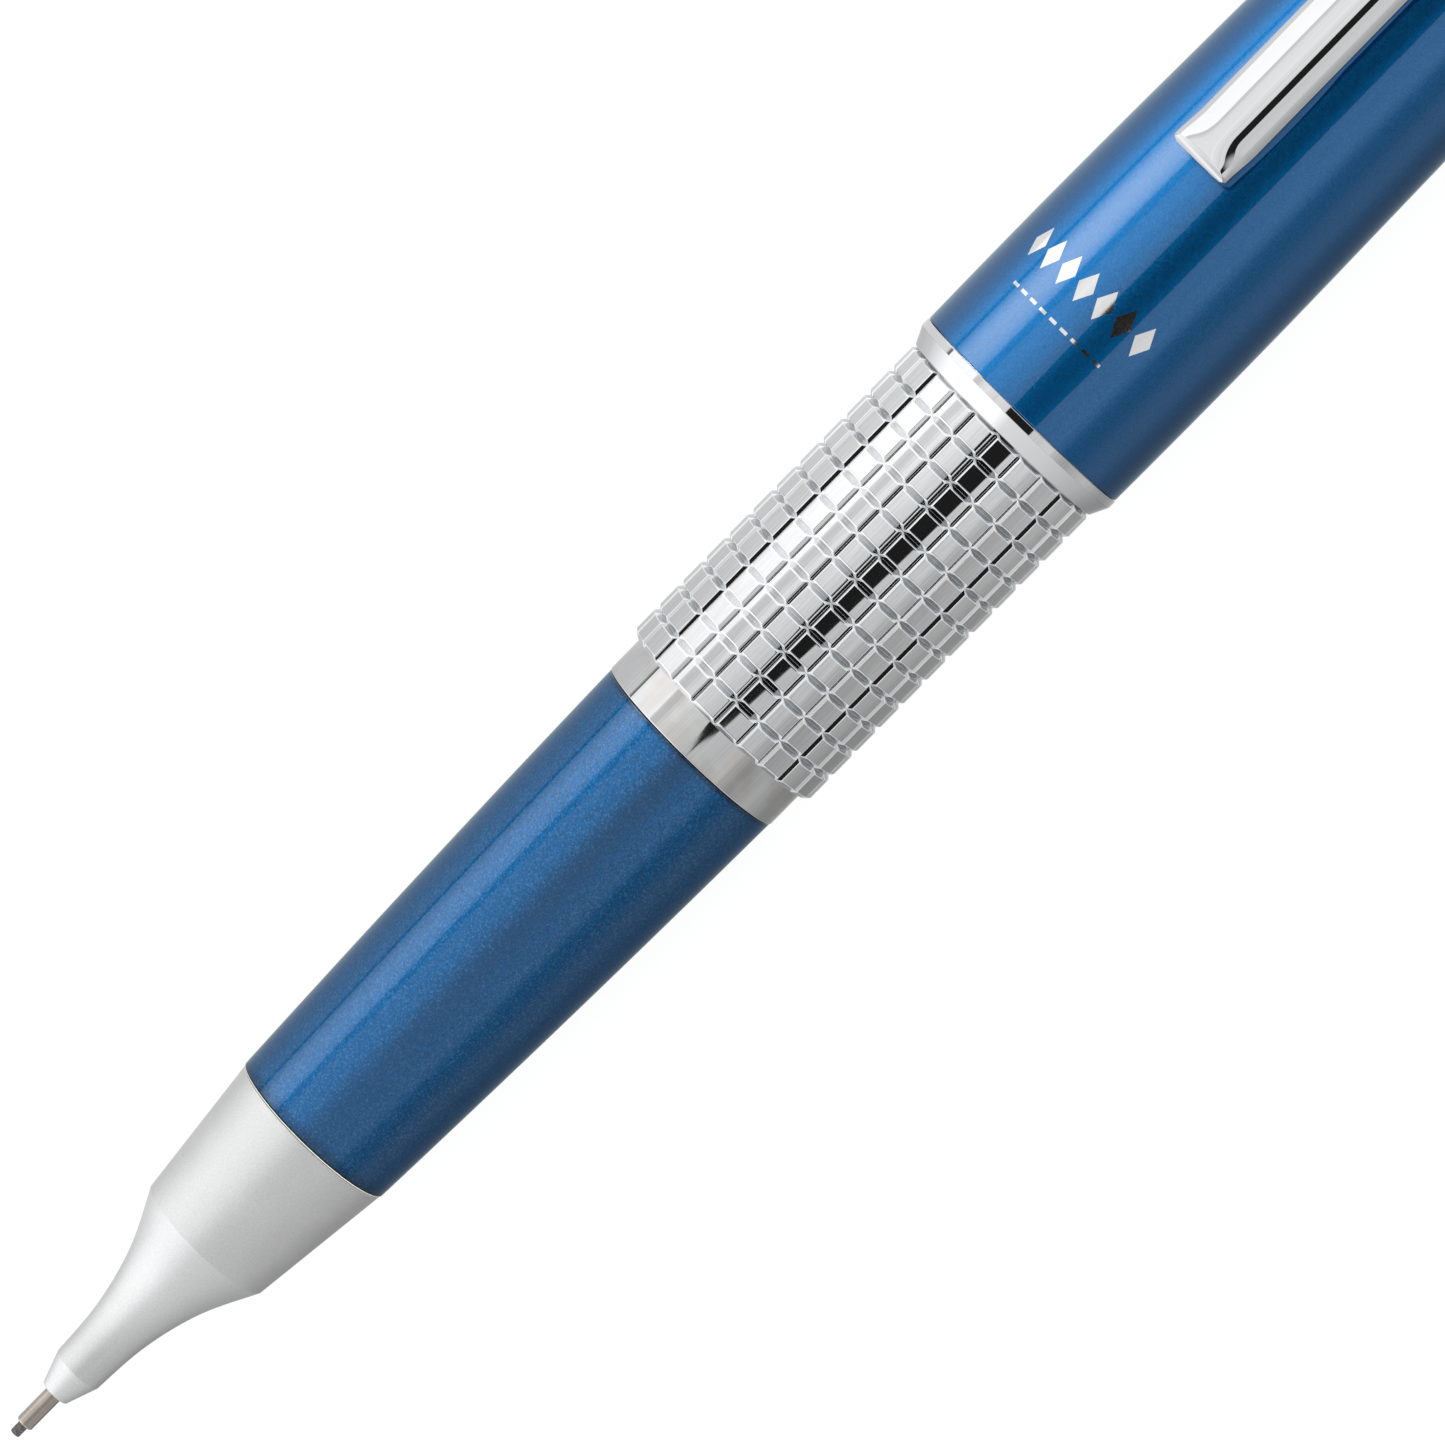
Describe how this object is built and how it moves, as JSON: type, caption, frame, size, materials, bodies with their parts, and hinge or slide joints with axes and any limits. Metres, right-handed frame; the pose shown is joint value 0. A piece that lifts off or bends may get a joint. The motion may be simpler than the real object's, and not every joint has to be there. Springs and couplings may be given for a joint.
{
  "type": "lead holder",
  "caption": "Slim push-button lead holder for fine leads: flared nose cone, knurled metal centre band, and a push-through cap with a pocket clip posted on the tail.",
  "frame": {"origin": "centre of the lead sleeve's mouth, on the pencil's axis", "axes": "+X along the axis from the writing tip to the cap button, +Z through the middle of the pocket clip, +Y completes the right-handed frame; the pencil lies on its side with the clip up"},
  "size_m": [0.1359, 0.013, 0.0153],
  "materials": {
    "lacquer": "gloss",
    "chrome": "polished",
    "satin_silver": "satin",
    "stainless": "satin",
    "inner_alloy": "satin",
    "brass": "satin",
    "graphite": "satin",
    "black_plastic": "satin",
    "clear_plastic": "gloss",
    "seal_rubber": "matte",
    "eraser_white": "matte"
  },
  "bodies": {
    "barrel": {"nose_cone": "satin_silver", "lead_sleeve": "stainless", "lead_retainer": "seal_rubber", "clutch_housing": "black_plastic", "return_spring": "stainless", "front_barrel": "lacquer", "centre_band": "chrome", "centre_joint": "inner_alloy", "rear_barrel": "lacquer", "tail_ring": "chrome"},
    "mechanism": {"chuck": "brass", "chuck_coupler": "black_plastic", "lead_tube": "clear_plastic", "spare_leads": "graphite", "eraser_ferrule": "stainless", "eraser": "eraser_white", "cleaning_pin": "stainless", "knock_button": "chrome"},
    "clutch_ring": {"clutch_ring": "brass"},
    "lead": {"lead": "graphite"},
    "cap": {"cap_ring": "chrome", "cap_tube": "lacquer", "cap_liner": "black_plastic", "clip_ring": "chrome", "cap_finial": "chrome"},
    "cap_button": {"cap_button": "chrome", "push_tube": "black_plastic"},
    "clip": {"clip": "chrome"}
  },
  "joints": [
    {"name": "knock", "type": "slide", "parent": "barrel", "child": "mechanism", "axis": [-1, 0, 0], "range_m": [0, 0.0025], "deforming": ["return_spring"]},
    {"name": "ring_slip", "type": "slide", "parent": "mechanism", "child": "clutch_ring", "axis": [1, 0, 0], "range_m": [0, 0.0019]},
    {"name": "lead_feed", "type": "slide", "parent": "barrel", "child": "lead", "axis": [-1, 0, 0], "range_m": [-0.0007, 0.006]},
    {"name": "cap_pull", "type": "slide", "parent": "barrel", "child": "cap", "axis": [1, 0, 0], "range_m": [0, 0.055]},
    {"name": "cap_press", "type": "slide", "parent": "cap", "child": "cap_button", "axis": [-1, 0, 0], "range_m": [0, 0.0025]},
    {"name": "clip_flex", "type": "hinge", "parent": "cap", "child": "clip", "pos_m": [0.1253, 0, 0.0053], "axis": [0, 1, 0], "range_deg": [0, 4]}
  ],
  "couplings": [
    {"joint": "ring_slip", "follows": "knock", "ratio": 0.76},
    {"joint": "cap_press", "follows": "knock", "ratio": 1}
  ]
}
